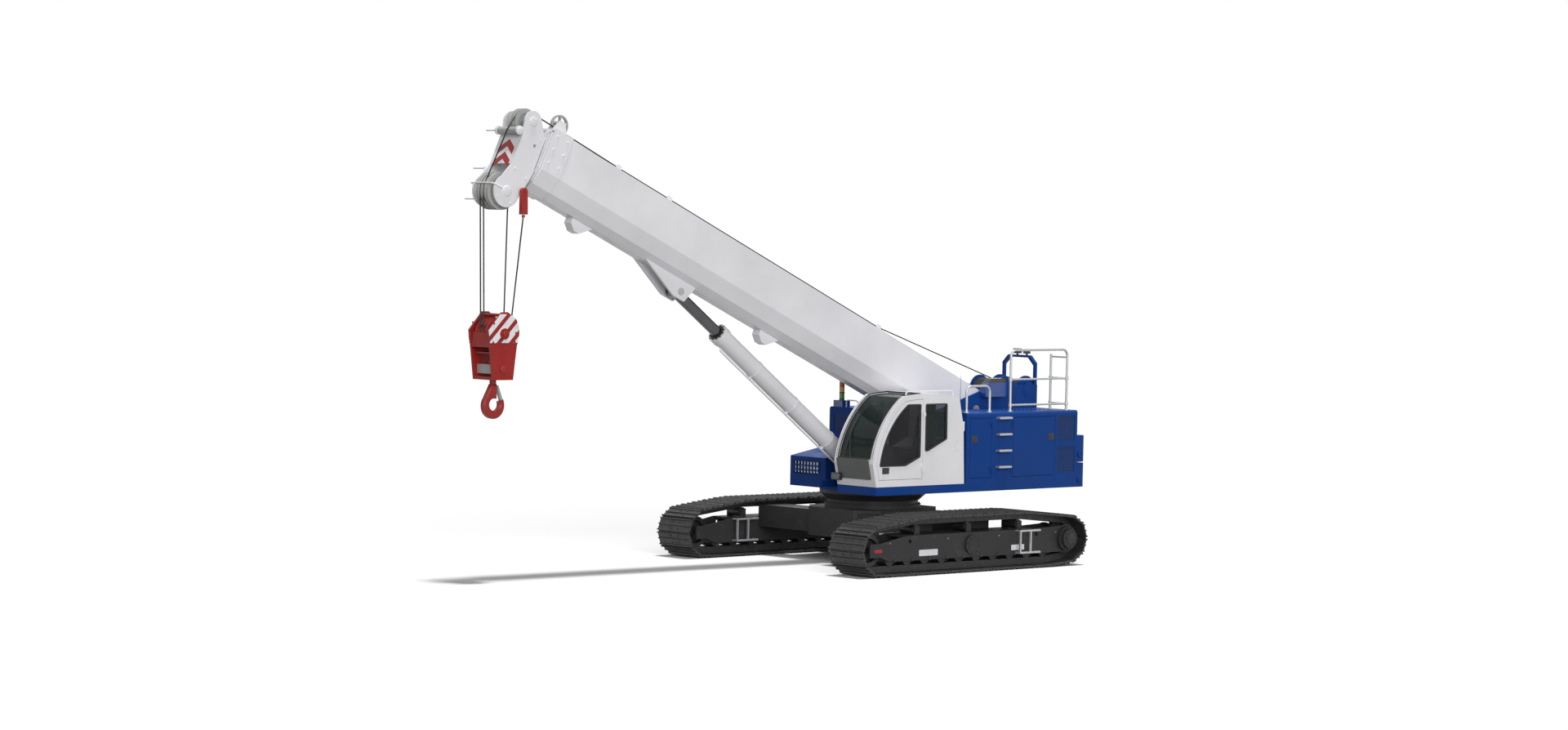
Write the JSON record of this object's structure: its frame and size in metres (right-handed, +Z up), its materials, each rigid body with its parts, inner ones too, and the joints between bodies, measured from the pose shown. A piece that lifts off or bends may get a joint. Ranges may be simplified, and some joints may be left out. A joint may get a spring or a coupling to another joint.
{
  "type": "telescopic crawler crane",
  "caption": "Crawler crane with a telescoping boom, luffing cylinder, slewing upper, cab, winches and hook block on tracks, for lifting loads on site",
  "frame": {"origin": "on the floor, at the middle of the length and width, with the boom forward", "axes": "+X forward along the boom, +Y to the cab's side, +Z up"},
  "size_m": [12.1274, 5, 7.3067],
  "materials": {
    "dark_steel": "worn dark steel track shoes",
    "black_paint": "semi-gloss black paint",
    "roller_steel": "dark cast steel",
    "galvanised": "dull grey galvanised steel",
    "blue_paint": "semi-gloss deep blue paint",
    "black_plastic": "matt black plastic",
    "beacon_lens": "stacked coloured lenses",
    "engine_grey": "grey engine castings",
    "white_paint": "gloss off-white paint",
    "tinted_glass": "dark green tinted glass",
    "seat_cloth": "dark woven seat cloth",
    "console_grey": "grey moulded console",
    "pin_steel": "plain steel",
    "sheave_grey": "satin grey paint",
    "cylinder_white": "gloss off-white paint",
    "rod_chrome": "ground chrome rod",
    "wire_rope": "greased black wire rope",
    "hook_red": "gloss red paint"
  },
  "bodies": {
    "undercarriage": {"car_body": "black_paint", "slew_ring": "black_paint", "left_track_frame": "black_paint", "right_track_frame": "black_paint", "left_track": "dark_steel", "right_track": "dark_steel", "front_idlers": "roller_steel", "drive_sprockets": "black_paint", "track_rollers": "roller_steel", "track_steps": "galvanised"},
    "upper": {"turntable": "black_paint", "deck": "blue_paint", "boom_support": "blue_paint", "front_platform": "blue_paint", "left_housing": "blue_paint", "right_housing": "blue_paint", "engine": "engine_grey", "lower_counterweight": "blue_paint", "upper_counterweight": "blue_paint", "main_winch": "blue_paint", "auxiliary_winch": "blue_paint", "hose_cover": "black_plastic", "ladder": "galvanised", "rear_railing": "galvanised", "side_railing": "galvanised", "light_arch": "blue_paint", "arch_lamps": "black_plastic", "beacon": "beacon_lens", "cab_shell": "white_paint", "cab_glass": "tinted_glass", "cab_seat": "seat_cloth", "cab_console": "console_grey", "boom_foot_pin": "pin_steel", "cylinder_pin": "pin_steel"},
    "cab_door": {"cab_door": "white_paint", "door_glass": "tinted_glass"},
    "left_front_door": {"left_front_door": "blue_paint"},
    "left_rear_door": {"left_rear_door": "blue_paint"},
    "right_front_door": {"right_front_door": "blue_paint"},
    "right_rear_door": {"right_rear_door": "blue_paint"},
    "boom": {"boom_base": "white_paint", "guide_wheel": "sheave_grey", "rod_pin": "pin_steel"},
    "boom_second": {"boom_second_section": "white_paint"},
    "boom_third": {"boom_third_section": "white_paint"},
    "boom_tip": {"boom_tip_section": "white_paint", "boom_head": "white_paint", "top_sheaves": "sheave_grey", "head_sheaves": "sheave_grey"},
    "falls": {"fall_ropes": "wire_rope"},
    "hook_block": {"hook_block": "hook_red", "block_sheaves": "hook_red", "crosshead": "sheave_grey"},
    "hook": {"hook": "hook_red", "hook_latch": "sheave_grey"},
    "cylinder_tube": {"cylinder_tube": "cylinder_white"},
    "cylinder_rod": {"cylinder_rod": "rod_chrome"}
  },
  "joints": [
    {"name": "slew", "type": "hinge", "parent": "undercarriage", "child": "upper", "pos_m": [-2.32516, 0, 1.04], "axis": [0, 0, 1], "continuous": true},
    {"name": "luff", "type": "hinge", "parent": "upper", "child": "boom", "pos_m": [-4.32516, 0, 2.5], "axis": [0, -1, 0], "range_deg": [0, 56]},
    {"name": "telescope", "type": "slide", "parent": "boom", "child": "boom_second", "axis": [0.9135, 0, 0.4067], "range_m": [0, 7.8]},
    {"name": "third_extend", "type": "slide", "parent": "boom_second", "child": "boom_third", "axis": [0.9135, 0, 0.4067], "range_m": [0, 7.8]},
    {"name": "tip_extend", "type": "slide", "parent": "boom_third", "child": "boom_tip", "axis": [0.9135, 0, 0.4067], "range_m": [0, 7.8]},
    {"name": "head_plumb", "type": "hinge", "parent": "boom_tip", "child": "falls", "pos_m": [5.77116, 0, 6.03189], "axis": [0, -1, 0], "range_deg": [-56, 0]},
    {"name": "hoist", "type": "slide", "parent": "falls", "child": "hook_block", "axis": [0, 0, -1], "range_m": [-1.2, 2.4], "deforming": ["fall_ropes"]},
    {"name": "hook_swivel", "type": "hinge", "parent": "hook_block", "child": "hook", "pos_m": [5.77116, 0, 3], "axis": [0, 0, 1], "continuous": true},
    {"name": "cylinder_swing", "type": "hinge", "parent": "upper", "child": "cylinder_tube", "pos_m": [-2.12516, 0, 1.4], "axis": [0, -1, 0], "range_deg": [0, 55.85]},
    {"name": "rod_extend", "type": "slide", "parent": "cylinder_tube", "child": "cylinder_rod", "axis": [0.8082, 0, 0.5889], "range_m": [0, 2.311]},
    {"name": "cab_door", "type": "hinge", "parent": "upper", "child": "cab_door", "pos_m": [-2.16016, 1.35, 2], "axis": [0, 0, 1], "range_deg": [0, 120]},
    {"name": "left_front_door", "type": "hinge", "parent": "upper", "child": "left_front_door", "pos_m": [-3.76516, 1.35, 1.9], "axis": [0, 0, 1], "range_deg": [0, 100]},
    {"name": "left_rear_door", "type": "hinge", "parent": "upper", "child": "left_rear_door", "pos_m": [-4.26516, 1.35, 1.9], "axis": [0, 0, -1], "range_deg": [0, 100]},
    {"name": "right_front_door", "type": "hinge", "parent": "upper", "child": "right_front_door", "pos_m": [-3.76516, -1.35, 1.9], "axis": [0, 0, -1], "range_deg": [0, 100]},
    {"name": "right_rear_door", "type": "hinge", "parent": "upper", "child": "right_rear_door", "pos_m": [-4.26516, -1.35, 1.9], "axis": [0, 0, 1], "range_deg": [0, 100]}
  ],
  "couplings": [
    {"joint": "third_extend", "follows": "telescope", "ratio": 1},
    {"joint": "tip_extend", "follows": "telescope", "ratio": 1},
    {"joint": "head_plumb", "follows": "luff", "ratio": -1},
    {"joint": "cylinder_swing", "follows": "luff", "ratio": 0.99647},
    {"joint": "rod_extend", "follows": "luff", "m_per_rad": 2.3628}
  ]
}
